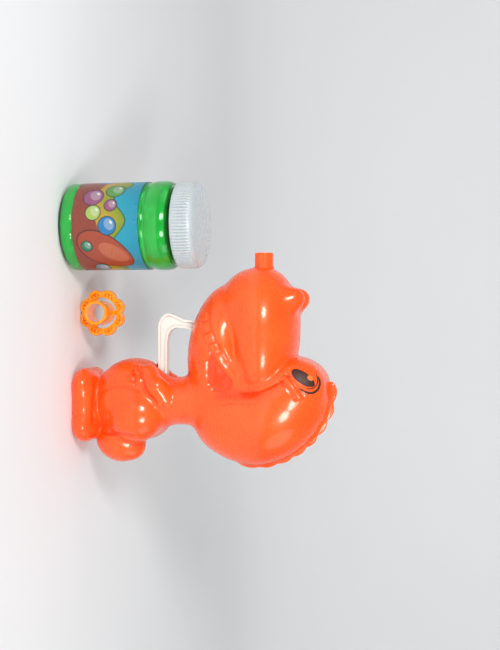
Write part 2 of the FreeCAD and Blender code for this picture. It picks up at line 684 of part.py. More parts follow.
def solution():
    """The liquid, up to the shoulder."""
    skin = BOTTLE_WALL + TOUCH
    side = [(radius - skin, max(z, skin)) for radius, z in BOTTLE_OUTLINE if z < FILL_Z]
    profile = [(0, skin)] + side + [(side[-1][0] - 1.2, FILL_Z), (0, FILL_Z)]
    return revolve(profile, BOTTLE_X, BOTTLE_Y)


def bottle_label():
    """Printed wrap round the straight part of the bottle."""
    middle = V(BOTTLE_X, BOTTLE_Y, 8.2)
    outer = Part.makeCylinder(22.75 + TOUCH + LABEL_T, 35.2, middle)
    return outer.cut(Part.makeCylinder(22.75 + TOUCH, 35.2, middle))


def cap():
    """Ribbed screw cap with a slightly domed top and a thread inside."""
    profile = [(CAP_INNER_R, CAP_Z), (CAP_R - 0.5, CAP_Z), (CAP_R - 0.3, 69.2), (CAP_R - 0.7, 70.2),
               (CAP_R - 1.6, 71.0), (CAP_R - 2.6, 71.3), (CAP_R - 8, 72.1), (CAP_R - 15, 72.8),
               (0, CAP_TOP), (0, 71.0), (CAP_INNER_R, 71.0)]
    body = revolve(profile, BOTTLE_X, BOTTLE_Y)
    rib = Part.makeBox(1.0, 1.1, 69.0 - CAP_Z, V(CAP_R - 1.0, -0.55, 0))
    ribs = []
    for index in range(CAP_RIBS):
        piece = rib.copy()
        piece.rotate(V(0, 0, 0), Z_AXIS, 360 * index / CAP_RIBS)
        piece.translate(V(BOTTLE_X, BOTTLE_Y, CAP_Z))
        ribs.append(piece)
    ridge = thread(CAP_INNER_R, 61.6 + THREAD_PITCH / 2, THREAD_TURNS, -1)
    return body.fuse(ribs + [ridge])


def cap_liner():
    """Soft disc that seals the bottle's mouth."""
    middle = V(BOTTLE_X, BOTTLE_Y, MOUTH_Z + TOUCH)
    return Part.makeCylinder(CAP_INNER_R - 1.2, 71.0 - MOUTH_Z - 2 * TOUCH, middle)


# ---- export -------------------------------------------------------------------------------

def build():
    outer = casing_volume()
    outer = outer.fuse(crest())
    hollow = casing_volume(WALL)
    return {
        "shell_left": casing_half(-1, outer, hollow),
        "shell_right": casing_half(1, outer, hollow),
        "shell_screws": shell_screws(),
        "nozzle_tube": nozzle_tube(),
        "air_duct": air_duct(),
        "trigger": trigger(),
        "trigger_pin": rod(PIVOT, TRIGGER_PIN_R, *(PLATE_LEFT[0], PLATE_RIGHT[1])),
        "trigger_spring": trigger_spring(),
        "gear_plate_left": gear_plate(PLATE_LEFT, (GEAR_ONE, GEAR_TWO)),
        "gear_plate_right": gear_plate(PLATE_RIGHT, (GEAR_ONE, GEAR_TWO)),
        "plate_posts": plate_posts(),
        "gearbox_screws": gearbox_screws(),
        "gear_one": gear_one(),
        "gear_one_axle": rod(GEAR_ONE, AXLE_R, PLATE_LEFT[0], PLATE_RIGHT[1]),
        "gear_two": gear_two(),
        "gear_two_axle": rod(GEAR_TWO, AXLE_R, PLATE_LEFT[0], PLATE_RIGHT[1]),
        "fan_pinion": fan_pinion(),
        "fan_axle": rod(FAN, FAN_AXLE_R, PLATE_LEFT[0] - 0.6, FAN_TIP_Y),
        "fan_bush_left": fan_bush(PLATE_LEFT, -1),
        "fan_bush_right": fan_bush(PLATE_RIGHT, 1),
        "fan_housing": fan_housing(),
        "fan_cover": fan_cover(),
        "fan_cover_screws": fan_cover_screws(),
        "impeller": impeller(),
        "bubble_ring": bubble_ring(),
        "bottle": bottle(),
        "solution": solution(),
        "bottle_label": bottle_label(),
        "cap": cap(),
        "cap_liner": cap_liner(),
    }


os.makedirs("parts", exist_ok=True)
for name, shape in build().items():
    volumes = [round(solid.Volume, 1) for solid in shape.Solids]
    print(name, "valid" if shape.isValid() else "NOT VALID", "solids", len(volumes), volumes[:6])
    shape.exportStep("parts/" + name + ".step")
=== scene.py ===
"""Looks of a hand-pumped dinosaur bubble gun, its dipping ring and its bottle of solution.

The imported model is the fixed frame, in metres. The casing halves are sculpted here as one
smooth form in millimetres, cut on the plane Y = 0 and hollowed to the casing's wall.
"""
import math

import bpy
import numpy as np
from mathutils import Matrix, Vector


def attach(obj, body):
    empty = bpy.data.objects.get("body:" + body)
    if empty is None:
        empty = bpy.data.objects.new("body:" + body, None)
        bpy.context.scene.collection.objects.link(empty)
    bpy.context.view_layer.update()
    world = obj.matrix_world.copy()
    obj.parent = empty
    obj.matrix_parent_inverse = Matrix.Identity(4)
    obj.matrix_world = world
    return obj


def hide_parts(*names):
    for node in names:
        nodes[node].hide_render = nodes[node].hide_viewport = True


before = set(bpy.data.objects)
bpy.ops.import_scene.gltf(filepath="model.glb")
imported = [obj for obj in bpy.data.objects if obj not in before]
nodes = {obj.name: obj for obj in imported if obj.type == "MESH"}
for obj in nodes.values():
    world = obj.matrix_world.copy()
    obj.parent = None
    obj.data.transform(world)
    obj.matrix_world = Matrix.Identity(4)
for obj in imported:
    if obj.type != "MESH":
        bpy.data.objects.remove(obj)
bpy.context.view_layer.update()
MM = 0.001

# ---- the sculpted form, in millimetres ----------------------------------------------------

WALL = 2.0
GRID = 0.56
FAR_OUT = 1e9

# The details are drawn in a side view that looks down a little: x, and a seen height.
ELEVATION = math.radians(11)
SEEN_C, SEEN_S, SEEN_OFF = math.cos(ELEVATION), math.sin(ELEVATION), 3.0

CRANIUM, CRANIUM_LEAN = (0.2, 0, 106.6), -40.7
CRANIUM_HALF = (24.6, 23, 33.9)
FIN_HALF, FIN_HEIGHT, FIN_SCALLOPS = 1.6, 3.6, 8
FIN_START, FIN_END = 116, -32       # degrees about the middle of the cranium

CASE_BOSSES = [(0, 130.5), (20.5, 111), (5, 64.5), (-58, 84), (-44, 112.5), (-6, 22)]
POSTS = [(-33, 107), (10.5, 116), (10.5, 76.5), (-26.5, 69.5)]
POST_SEAT, POST_PILOT_DEPTH = 9.9, 13.8
BOSS_R, SHANK_R, PILOT_R, HEAD_R = 3.0, 1.35, 1.25, 2.6
PILOT_DEPTH, HEAD_SEAT = 7.5, 6.0

NOZZLE_Z, NOZZLE_HOLE, NOZZLE_HOLE_END = 101.5, 5.42, -69
RIB_X, RIB_HALF, RIB_R = -66.3, 0.65, 13

SLOT_DEPTH = (-5, 3.2)              # the trigger's two openings, across the middle plane
CHEST_OPENING = ((-32, -8), (42.2, 57.2))
JAW_OPENING = ((-49, -31.5), (58, 74))

FAN = (-7.8, 106.3)
SLITS, SLIT_PITCH, SLIT_HALF, SLIT_CIRCLE = 7, 3, 0.6, 12


def height(seen, y):
    """True height of a point drawn at a seen height, on a surface y away from the middle."""
    return (seen - SEEN_OFF + SEEN_S * y) / SEEN_C


def egg(p, centre, half, lean=0.0):
    """Distance-like field of an ellipsoid leaning about Y."""
    a = math.radians(lean)
    dx, dy, dz = p[0] - centre[0], p[1] - centre[1], p[2] - centre[2]
    lx, lz = dx * math.cos(a) - dz * math.sin(a), dx * math.sin(a) + dz * math.cos(a)
    k0 = np.sqrt((lx / half[0]) ** 2 + (dy / half[1]) ** 2 + (lz / half[2]) ** 2)
    k1 = np.sqrt((lx / half[0] ** 2) ** 2 + (dy / half[1] ** 2) ** 2
                 + (lz / half[2] ** 2) ** 2) + 1e-6
    return k0 * (k0 - 1) / k1


def bulb(p):
    """The snout: round in front, and blunt and lower towards the cheek."""
    dx, dy, dz = p[0] + 43.5, p[1], p[2] - 102.0
    rear = np.clip(dx / 32, 0, 1)
    half_y, half_z = 25.0 - 1.6 * rear ** 2, 18.6 - 5.8 * rear ** 2
    half_x = np.where(dx > 0, 33.7, 31.0)
    power = np.where(dx > 0, 4.0, 2.0)
    across = np.sqrt((dy / half_y) ** 2 + (dz / half_z) ** 2) + 1e-6
    along = np.abs(dx) / half_x + 1e-6
    k0 = (along ** power + across ** power) ** (1 / power)
    lift = k0 ** (1 - power)
    per_x = lift * along ** (power - 1) / half_x
    per_r = lift * across ** (power - 1)
    spread = ((dy / half_y ** 2) ** 2 + (dz / half_z ** 2) ** 2) / across ** 2
    return (k0 - 1) / np.sqrt(per_x ** 2 + per_r ** 2 * spread + 1e-8)


def limb(p, a, b, ra, rb):
    """Rounded cone from a to b."""
    ab = [b[i] - a[i] for i in range(3)]
    length = sum(v * v for v in ab)
    t = sum((p[i] - a[i]) * ab[i] for i in range(3)) / length
    t = np.clip(t, 0, 1)
    away = np.sqrt(sum((p[i] - a[i] - t * ab[i]) ** 2 for i in range(3)))
    return away - (ra + (rb - ra) * t)


def melt(a, b, k):
    """Smooth union of two fields."""
    h = np.maximum(k - np.abs(a - b), 0) / k
    return np.minimum(a, b) - h * h * k * 0.25


def crest_height(degrees):
    """Radius of the scalloped fin's edge about the middle of the cranium."""
    share = np.clip((FIN_START - degrees) / (FIN_START - FIN_END), 0, 1)
    turn = np.radians(degrees + CRANIUM_LEAN)
    skull = 1 / np.hypot(np.cos(turn) / CRANIUM_HALF[0], np.sin(turn) / CRANIUM_HALF[2])
    scallop = 0.55 + 0.45 * np.abs(np.sin(np.pi * FIN_SCALLOPS * share))
    return skull + FIN_HEIGHT * (1 - 0.5 * share) * scallop - 0.2


def crest_fin(p):
    """The thin scalloped fin over the back of the head."""
    dx, dz = p[0] - CRANIUM[0], p[2] - CRANIUM[2]
    degrees = np.degrees(np.arctan2(dz, dx))
    away = np.hypot(dx, dz)
    edge = away - crest_height(degrees)
    beyond = np.maximum(degrees - FIN_START, FIN_END - degrees) * away * 0.0175
    thick = np.abs(p[1]) - FIN_HALF
    return np.maximum(np.maximum(edge, thick), np.maximum(beyond, 15 - away))


def form(p):
    """The casing's outside; p holds x, distance from the middle plane, z."""
    snout = melt(egg(p, (-50, 0, 97.5), (24.6, 21.5, 21.5)), bulb(p), 3)
    nostril = egg(p, (-57, 8.5, 115.8), (6.7, 6.4, 8.8), -20)
    snout = melt(snout, nostril, 4)
    jaw = egg(p, (-33, 0, 79.3), (33.5, 21, 18), 10)
    nape = egg(p, (2, 0, 85), (22.8, 20.5, 22))
    skull = melt(egg(p, CRANIUM, CRANIUM_HALF, CRANIUM_LEAN), nape, 7)
    brow = egg(p, (-13.4, 10, 119.5), (12.8, 10.5, 15))
    skull = melt(skull, brow, 5)
    head = melt(skull, jaw, 4)
    head = melt(head, snout, 1.6)
    cheek = egg(p, (-19, 0, 90.4), (13, 17.6, 9.5))
    head = melt(head, cheek, 5)
    neck = egg(p, (-4.2, 0, 58), (12.8, 15, 28))
    belly = egg(p, (-4.4, 0, 31), (22.4, 18, 22.5))
    thigh = egg(p, (3.0, 9, height(32.5, 21)), (14.5, 12.5, 15))
    body = melt(melt(neck, belly, 6), thigh, 2.2)
    tail = melt(egg(p, (17.8, 0, 22.6), (11.2, 10, 13.4), 12),
                limb(p, (19, 0, 25), (21.4, 0, 30.2), 8.2, 4.6), 4)
    body = melt(body, tail, 2.2)
    shoulder = limb(p, (-6, 11, height(49, 16)), (-12, 14, height(46, 18)), 6.6, 5.4)
    forearm = limb(p, (-12, 14, height(44, 18)), (-19.5, 10.5, height(41, 15)), 5.6, 4.4)
    hand = limb(p, (-15, 12.5, height(38, 16)), (-20.5, 9.5, height(37, 13)), 4.2, 3.0)
    arm = melt(melt(shoulder, forearm, 2), hand, 1.2)
    body = melt(body, arm, 1.6)
    foot = egg(p, (-1.6, 0, 5.6), (19.4, 18, 9.4))
    toe = egg(p, (-12, 8, 5.2), (9.5, 10.5, 6.8))
    heel = egg(p, (9, 8.5, 5.2), (9, 10, 6.6))
    body = melt(body, melt(melt(foot, toe, 3), heel, 3), 1.4)
    whole = melt(head, body, 5)
    whole = melt(whole, crest_fin(p), 2.2)
    return np.maximum(whole, -p[2])


# ---- details drawn on the side, as (x, seen height) lines ---------------------------------

def line_distance(u, v, points):
    """Distance to a polyline, the share along it, and the signed side (left is positive)."""
    best = np.full(u.shape, FAR_OUT)
    share = np.zeros(u.shape)
    side = np.zeros(u.shape)
    lengths = [math.dist(points[i], points[i + 1]) for i in range(len(points) - 1)]
    total, done = sum(lengths), 0.0
    for i, length in enumerate(lengths):
        (ax, az), (bx, bz) = points[i], points[i + 1]
        ex, ez = (bx - ax) / length, (bz - az) / length
        along = (u - ax) * ex + (v - az) * ez
        t = np.clip(along, 0, length)
        away = np.hypot(u - ax - t * ex, v - az - t * ez)
        near = away < best
        best = np.where(near, away, best)
        share = np.where(near, (done + t) / total, share)
        side = np.where(near, np.sign(-(u - ax) * ez + (v - az) * ex), side)
        done += length
    return best, share, side


def rounded(points, rounds=2):
    """Cuts a line's corners, keeping its ends."""
    for _ in range(rounds):
        cut = [points[0]]
        for a, b in zip(points, points[1:]):
            cut.append((0.75 * a[0] + 0.25 * b[0], 0.75 * a[1] + 0.25 * b[1]))
            cut.append((0.25 * a[0] + 0.75 * b[0], 0.25 * a[1] + 0.75 * b[1]))
        points = cut + [points[-1]]
    return points


def fade(share, ends):
    """1 along a line and 0 at its ends; ends are the shares over which it fades."""
    start, stop = ends
    up = np.clip(share / start, 0, 1) if start else 1.0
    down = np.clip((1 - share) / stop, 0, 1) if stop else 1.0
    t = up * down
    return t * t * (3 - 2 * t)


def groove(u, v, points, width, depth, ends=(0.12, 0.12)):
    """A soft valley along a line."""
    away, share, _ = line_distance(u, v, rounded(points))
    return -depth * np.exp(-(away / width) ** 2) * fade(share, ends)


def fold(u, v, points, rise, fall, reach, ends=(0.15, 0.15)):
    """One side, on the line's left, swells over the other at a crease."""
    away, share, side = line_distance(u, v, rounded(points))
    high = rise * np.exp(-away / reach) * (1 - np.exp(-away / 0.9))
    low = -fall * np.exp(-away / (0.6 * reach))
    return np.where(side > 0, high, low) * fade(share, ends)


def roll(u, v, points, half, rise, ends=(0.1, 0.1)):
    """A raised roll with a crisp border; half is its half width at the start and end."""
    away, share, _ = line_distance(u, v, rounded(points))
    width = half[0] + (half[1] - half[0]) * share
    inside = np.clip(1 - (away / width) ** 2, 0, 1)
    return rise * inside ** 0.6 * fade(share, ends)


def tile(u, v, centre, half, turn, rise):
    """A raised rounded square."""
    a = math.radians(turn)
    du, dv = u - centre[0], v - centre[1]
    lu = np.abs(du * math.cos(a) + dv * math.sin(a)) - half[0] + 1
    lv = np.abs(-du * math.sin(a) + dv * math.cos(a)) - half[1] + 1
    away = np.hypot(np.maximum(lu, 0), np.maximum(lv, 0)) - 1
    return rise * np.clip(0.5 - away / 0.8, 0, 1) - 0.35 * np.exp(-((away - 0.5) / 0.5) ** 2)


def recess(u, v, corners, depth, soft):
    """A hollow with a flat floor inside a closed outline."""
    away, _, _ = line_distance(u, v, corners + corners[:1])
    inside = np.zeros(u.shape, bool)
    for (ax, az), (bx, bz) in zip(corners, corners[1:] + corners[:1]):
        spans = (az > v) != (bz > v)
        rise = bz - az if bz != az else 1e-9
        inside ^= spans & (u < (bx - ax) * (v - az) / rise + ax)
    t = np.clip(np.where(inside, away, -away) / soft, 0, 1)
    return -depth * t * t * (3 - 2 * t)


SNOUT_BACK = [(-10, 88), (-10.4, 94), (-11, 100.5), (-13, 106), (-17.5, 113), (-21.5, 116.6)]
LIP_TOP = [(-45, 83.7), (-35, 86.4), (-28, 90), (-20, 92.2), (-11.5, 92.9)]
LIP_LOW = [(-62, 77.6), (-56, 75.4), (-50, 74.6), (-43, 75.6), (-37, 78.2), (-31, 81.6),
           (-25, 85), (-17, 88.2), (-11.5, 89)]
MOUTH = [(-32, 75.2), (-26.5, 79.6), (-21, 83.6), (-15.6, 87), (-11.4, 86.4), (-9.6, 81),
         (-9.2, 75.4), (-13, 72.6), (-19, 71.6), (-26, 71.8)]
TEETH = [((-49.6, 70.8), -6), ((-43.4, 71.8), 8), ((-37.7, 74.2), 22), ((-32.6, 77.2), 32)]
BACK_VALLEY = [(-10.6, 104), (-9.8, 98), (-9.2, 90), (-8.8, 82), (-8.4, 74)]
BACK_EDGE = [(-3.6, 73), (-4, 80), (-4.6, 88), (-5, 96), (-6, 103)]
EYELID = [(-18.6, 112.4), (-12.6, 117), (-6.4, 121.6)]
OVER_LID = [(-20, 113.6), (-13.8, 118.6), (-8, 123)]
UNDER_LID = [(-16.6, 110.8), (-11.4, 115.2), (-5.6, 119.8)]
ARM_EDGE = [(-3, 47), (-8, 42.5), (-12, 40), (-17, 38.6), (-22, 37)]
HAND_EDGE = [(-12, 35.5), (-16, 34), (-22, 33.4)]
CLAWS = [(-17.2, 33.2), (-20.2, 35.2)]
THIGH_EDGE = [(-9, 40), (-11.5, 34), (-12.4, 27), (-11.5, 20), (-7, 14.5), (2, 13.4)]
ANKLE = [(-18.5, 11.5), (-14, 13), (-8, 12.4), (0, 11.8), (10, 12)]
TAIL_EDGE = [(14, 36), (12.5, 29), (13.4, 21), (13, 14)]


def relief(u, v):
    """Height of the details over the form, in millimetres."""
    h = fold(u, v, SNOUT_BACK, 0.7, 1.1, 3)
    h = h + groove(u, v, LIP_TOP, 1.8, 0.3)
    h = h + fold(u, v, LIP_LOW, 1.0, 0.4, 4, (0.15, 0.3))
    for centre, turn in TEETH:
        h = h + 0.8 * tile(u, v, centre, (2.5, 2.2), turn, 0.28)
    h = h + recess(u, v, MOUTH, 1.0, 2.2)
    h = h + groove(u, v, BACK_VALLEY, 2.9, 1.0, (0.3, 0.25))
    h = h + fold(u, v, BACK_EDGE, 0.0, 0.5, 2.5, (0.3, 0.35))
    h = h + roll(u, v, EYELID, (1.5, 1.5), 0.7, (0.05, 0.1))
    h = h + groove(u, v, OVER_LID, 0.55, 0.5, (0.05, 0.1))
    h = h + groove(u, v, UNDER_LID, 0.6, 0.55, (0.05, 0.1))
    for claw in CLAWS:
        h = h + tile(u, v, claw, (1.5, 1.2), 30, 0.5)
    for edge, width, depth in ((ARM_EDGE, 0.8, 0.8), (HAND_EDGE, 0.7, 0.5), (THIGH_EDGE, 1.1, 0.4),
                               (ANKLE, 0.9, 0.7), (TAIL_EDGE, 0.9, 0.8)):
        h = h + groove(u, v, edge, width, depth)
    return h


# ---- meshes from fields -------------------------------------------------------------------

def surface_nets(field, low, step):
    """Vertices and quads of the zero level of a field on a grid."""
    shape = np.array(field.shape)
    cells = shape - 1
    inside = field < 0
    total = int(cells.prod())
    count = np.zeros(total)
    sums = np.zeros((3, total))
    quads = []
    for axis in range(3):
        lower = [slice(None)] * 3
        upper = [slice(None)] * 3
        lower[axis], upper[axis] = slice(0, -1), slice(1, None)
        a, b = field[tuple(lower)], field[tuple(upper)]
        in_a = inside[tuple(lower)]
        spots = np.array(np.nonzero(in_a != inside[tuple(upper)]))
        fa, fb = a[tuple(spots)], b[tuple(spots)]
        where = spots.astype(float)
        where[axis] += fa / (fa - fb)
        one, two = (axis + 1) % 3, (axis + 2) % 3
        around = []
        for d_one, d_two in ((-1, -1), (0, -1), (0, 0), (-1, 0)):
            cell = spots.copy()
            cell[one] += d_one
            cell[two] += d_two
            flat = np.ravel_multi_index(cell, cells)
            around.append(flat)
            count += np.bincount(flat, minlength=total)
            for k in range(3):
                sums[k] += np.bincount(flat, weights=where[k], minlength=total)
        quad = np.array(around).T
        turned = ~in_a[tuple(spots)]
        quad[turned] = quad[turned][:, ::-1]
        quads.append(quad)
    used = np.nonzero(count)[0]
    number = np.full(total, -1)
    number[used] = np.arange(len(used))
    points = (sums[:, used] / count[used]).T * step + np.array(low)
    return points, number[np.concatenate(quads)]


def grid(low, high, step):
    """Sparse x, y and z of a grid of points."""
    axes = [np.arange(low[i], high[i] + step, step) for i in range(3)]
    return np.meshgrid(*axes, indexing="ij", sparse=True)


def mesh_object(name, points, faces, smooth_angle=None):
    """An object from points in millimetres."""
    mesh = bpy.data.meshes.new(name)
    faces = faces.tolist() if isinstance(faces, np.ndarray) else faces
    mesh.from_pydata((np.asarray(points) * MM).tolist(), [], faces)
    mesh.shade_smooth()
    if smooth_angle:
        mesh.set_sharp_from_angle(angle=math.radians(smooth_angle))
    obj = bpy.data.objects.new(name, mesh)
    bpy.context.scene.collection.objects.link(obj)
    return obj


def note_painted_shade(obj, share):
    """Notes how far each vertex lies in a recess, 0 to 1, as the share of painted shade on it."""
    layer = obj.data.attributes.new("hollow", "FLOAT", "POINT")
    layer.data.foreach_set("value", share.astype(np.float32))


def columns(points):
    """The x, y and z of points, in the form that a field takes."""
    return [points[:, i] for i in range(3)]


def slope(field, points, reach=0.05):
    """Unit normals of a field at points."""
    p = columns(points)
    parts = []
    for axis in range(3):
        ahead, behind = list(p), list(p)
        ahead[axis] = p[axis] + reach
        behind[axis] = p[axis] - reach
        parts.append(field(ahead) - field(behind))
    g = np.stack(parts, axis=1)
    return g / np.maximum(np.linalg.norm(g, axis=1, keepdims=True), 1e-9)


def detail_at(points, normals):
    """The relief at surface points; it dies out where the surface faces along the seam."""
    u = points[:, 0]
    v = SEEN_C * points[:, 2] - SEEN_S * points[:, 1] + SEEN_OFF
    sideways = np.clip((normals[:, 1] - 0.05) / 0.35, 0, 1)
    return relief(u, v) * sideways


def rod(p, spot, radius):
    """An endless rod across the gun."""
    return np.hypot(p[0] - spot[0], p[2] - spot[1]) - radius


def drill_out(field, p, spot, radius, y_from):
    """Takes a hole across the gun out of a field, from y_from outwards."""
    return np.maximum(field, -np.maximum(rod(p, spot, radius), y_from - p[1]))


def drill_in(field, p, spot, radius, y_to):
    """Takes a hole out of a field, from the middle plane to y_to."""
    return np.maximum(field, -np.maximum(rod(p, spot, radius), p[1] - y_to))


def box_field(p, low, high):
    """Distance-like field of an upright box."""
    return np.maximum.reduce(np.broadcast_arrays(
        low[0] - p[0], p[0] - high[0], low[1] - p[1], p[1] - high[1],
        low[2] - p[2], p[2] - high[2]))


def casing_field(p, skin, right):
    """One half of the hollow casing; skin is the form's field at p."""
    shell = np.maximum(skin, -(skin + WALL))
    from_nozzle = np.hypot(p[1], p[2] - NOZZLE_Z)

    pegs = np.full(1, FAR_OUT)
    for spot in CASE_BOSSES:
        pegs = np.minimum(pegs, rod(p, spot, BOSS_R))
    if not right:
        for spot in POSTS:
            pegs = np.minimum(pegs, np.maximum(rod(p, spot, BOSS_R), POST_SEAT - p[1]))
    rib = np.maximum(from_nozzle - RIB_R, np.abs(p[0] - RIB_X) - RIB_HALF)
    rib = np.maximum(rib, NOZZLE_HOLE - from_nozzle)
    shell = np.minimum(shell, np.maximum(np.minimum(pegs, rib), skin + 0.5 * WALL))

    shell = np.maximum(shell, 0.01 - p[1])
    for (x_low, x_high), (z_low, z_high) in (CHEST_OPENING, JAW_OPENING):
        opening = box_field(p, (x_low, SLOT_DEPTH[0], z_low), (x_high, SLOT_DEPTH[1], z_high))
        shell = np.maximum(shell, -opening)
    nozzle_hole = np.maximum(from_nozzle - NOZZLE_HOLE, p[0] - NOZZLE_HOLE_END)
    shell = np.maximum(shell, -nozzle_hole)

    for spot in CASE_BOSSES:
        if right:
            shell = drill_out(shell, p, spot, SHANK_R, -5)
            shell = drill_out(shell, p, spot, HEAD_R, HEAD_SEAT)
        else:
            shell = drill_in(shell, p, spot, PILOT_R, PILOT_DEPTH)
    if not right:
        for spot in POSTS:
            shell = drill_in(shell, p, spot, PILOT_R, POST_PILOT_DEPTH)
        return shell
    for k in range(SLITS):
        offset = (k - (SLITS - 1) / 2) * SLIT_PITCH
        reach = math.sqrt(SLIT_CIRCLE ** 2 - offset ** 2) * 0.9
        low = (FAN[0] - reach, 15, FAN[1] + offset - SLIT_HALF)
        high = (FAN[0] + reach, 60, FAN[1] + offset + SLIT_HALF)
        shell = np.maximum(shell, -box_field(p, low, high))
    return shell


def largest(points, faces):
    """Keeps only the largest connected piece of a mesh."""
    label = np.arange(len(points))
    while True:
        lowest = label[faces].min(axis=1)
        fresh = label.copy()
        for corner in range(4):
            np.minimum.at(fresh, faces[:, corner], lowest)
        fresh = fresh[fresh]
        if np.array_equal(fresh, label):
            break
        label = fresh
    keep_label = np.bincount(label).argmax()
    kept = np.nonzero(label == keep_label)[0]
    number = np.full(len(points), -1)
    number[kept] = np.arange(len(kept))
    return points[kept], number[faces[label[faces[:, 0]] == keep_label]]


def casing_half(name, right, p, skin, low):
    """One half as an object, with the details pressed into its outer skin."""
    field = casing_field(p, skin, right)
    points, faces = surface_nets(field, low, GRID)
    points, faces = largest(points, faces)
    outer = np.abs(form(columns(points))) < 0.35 * GRID
    outer &= points[:, 1] > 0.05
    skin_points = points[outer]
    for _ in range(2):
        gap = form(columns(skin_points))[:, None]
        skin_points = skin_points - gap * slope(form, skin_points) * 0.9
    normals = slope(form, skin_points)
    detail = detail_at(skin_points, normals)
    skin_points = skin_points + normals * detail[:, None]
    skin_points[:, 1] = np.maximum(skin_points[:, 1], 0.02)
    points[outer] = skin_points
    if not right:
        points = points * np.array([1, -1, 1])
        faces = faces[:, ::-1]
    obj = mesh_object(name, points, faces, 48)
    # Painted shade: vertices that the relief sinks into grooves, creases and the mouth get a share of
    # the darker shade colour.
    hollow = np.zeros(len(points), np.float32)
    hollow[outer] = np.clip(-detail, 0, 1)
    note_painted_shade(obj, hollow)
    return obj


low = (-78.0, -2 * GRID + 0.001, -2 * GRID + 0.003)
p = grid(low, (31.0, 28.0, 142.0), GRID)
skin = form(p).astype(np.float32)
casing_left = casing_half("casing_left", False, p, skin, low)
casing_right = casing_half("casing_right", True, p, skin, low)
for obj, node in ((casing_left, "shell_left"), (casing_right, "shell_right")):
    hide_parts(node)
    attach(obj, "gun")


# ---- printed eyes -------------------------------------------------------------------------

INK_LIFT, SHINE_LIFT = 0.06, 0.12
EYE, SHINE, EYE_LEAN = (-17.6, 122.5), (-17.6, 126.2), 56
EYE_LINE = [(-18.2, 130.2), (-15.4, 131.3), (-12, 130.4), (-9.9, 127.6), (-10.2, 124.2),
            (-12.4, 120.6)]
INNER_LINE = [(-19.6, 129.2), (-16.4, 130.2), (-13.6, 129.2), (-12, 126.6), (-12.6, 124)]


def on_skin(spots, lift):
    """Points lifted off the casing's side, under a list of (x, seen height) spots."""
    u, v = np.array(spots).T
    y = np.full(len(u), 30.0)
    for _ in range(60):
        z = height(v, y)
        gap = form([u, y, z]) - relief(u, v)
        y = y - np.clip(gap, -1, 1) * 0.8
    points = np.stack([u, y, height(v, y)], axis=1)
    return points + slope(form, points) * lift


def printed(name, outline, centre, lift):
    """A thin layer of print inside an outline, on both sides of the head."""
    rings, rim = 7, rounded(outline + outline[:1], 2)[:-1]
    flat = [centre]
    for ring in range(1, rings + 1):
        share = ring / rings
        for x, v in rim:
            flat.append((centre[0] + (x - centre[0]) * share, centre[1] + (v - centre[1]) * share))
    points = on_skin(flat, lift)
    n = len(rim)
    faces = [[0, 1 + k, 1 + (k + 1) % n] for k in range(n)]
    for ring in range(rings - 1):
        a, b = 1 + ring * n, 1 + (ring + 1) * n
        faces += [[a + k, b + k, b + (k + 1) % n, a + (k + 1) % n] for k in range(n)]
    return side_pair(name, points, faces)


def stroke(name, line, half, lift):
    """A printed line of varying width on both sides of the head."""
    line = rounded(line, 3)
    flat = []
    count = len(line)
    for i, (x, v) in enumerate(line):
        before, after = line[max(i - 1, 0)], line[min(i + 1, count - 1)]
        dx, dv = after[0] - before[0], after[1] - before[1]
        size = math.hypot(dx, dv)
        width = half * math.sin(math.pi * (0.06 + 0.88 * i / (count - 1))) ** 0.7
        for side in (-1, 0, 1):
            flat.append((x - dv / size * width * side, v + dx / size * width * side))
    points = on_skin(flat, lift)
    faces = []
    for i in range(count - 1):
        a = 3 * i
        faces += [[a, a + 1, a + 4, a + 3], [a + 1, a + 2, a + 5, a + 4]]
    return side_pair(name, points, faces)


def side_pair(name, points, faces):
    """A thin print on the left side and its mirror on the right side."""
    pair = []
    for side, word in ((-1, "left"), (1, "right")):
        turned = [list(reversed(face)) for face in faces] if side > 0 else faces
        obj = mesh_object(name + "_" + word, points * np.array([1, side, 1]), turned)
        thick = obj.modifiers.new("ink", "SOLIDIFY")
        thick.thickness = 0.00004
        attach(obj, "gun")
        pair.append(obj)
    return pair


def oval(centre, long, short, lean, count=20):
    """Points round a leaning ellipse."""
    a = math.radians(lean)
    points = []
    for k in range(count):
        t = 2 * math.pi * k / count
        x, y = long * math.cos(t), short * math.sin(t)
        points.append((centre[0] + x * math.cos(a) - y * math.sin(a),
                       centre[1] + x * math.sin(a) + y * math.cos(a)))
    return points


eye_dark = printed("eye_print", oval(EYE, 6.9, 3.0, EYE_LEAN), EYE, INK_LIFT)
eye_shine = printed("eye_shine", oval(SHINE, 1.7, 1.2, EYE_LEAN), SHINE, SHINE_LIFT)
eye_lines = stroke("eye_line", EYE_LINE, 0.62, INK_LIFT)
eye_lines += stroke("eye_inner_line", INNER_LINE, 0.3, INK_LIFT)

# ---- dipping ring -------------------------------------------------------------------------

LOBES, LOBE_R, LOBE_CIRCLE = 8, 4.7, 8.2
COLLAR_R, COLLAR_BORE, COLLAR_END, RING_OPENING_R = 6.2, 4.95, -12.15, 8.3
SPOKES, SPOKE_HALF, PLATE_HALF = 3, 1.3, 1.45
BEAD_R, BEAD_ROWS = 0.8, ((10.0, 32), (11.5, 36))     # radius and number of each row's beads
RING = (-51.0, LOBE_CIRCLE * math.cos(math.pi / LOBES) + LOBE_R)


def bar(across, along, half, reach, radius):
    """A rounded bar; half and reach are the half sizes of its core."""
    return np.hypot(np.maximum(np.abs(across) - half, 0),
                    np.maximum(np.abs(along) - reach, 0)) - radius


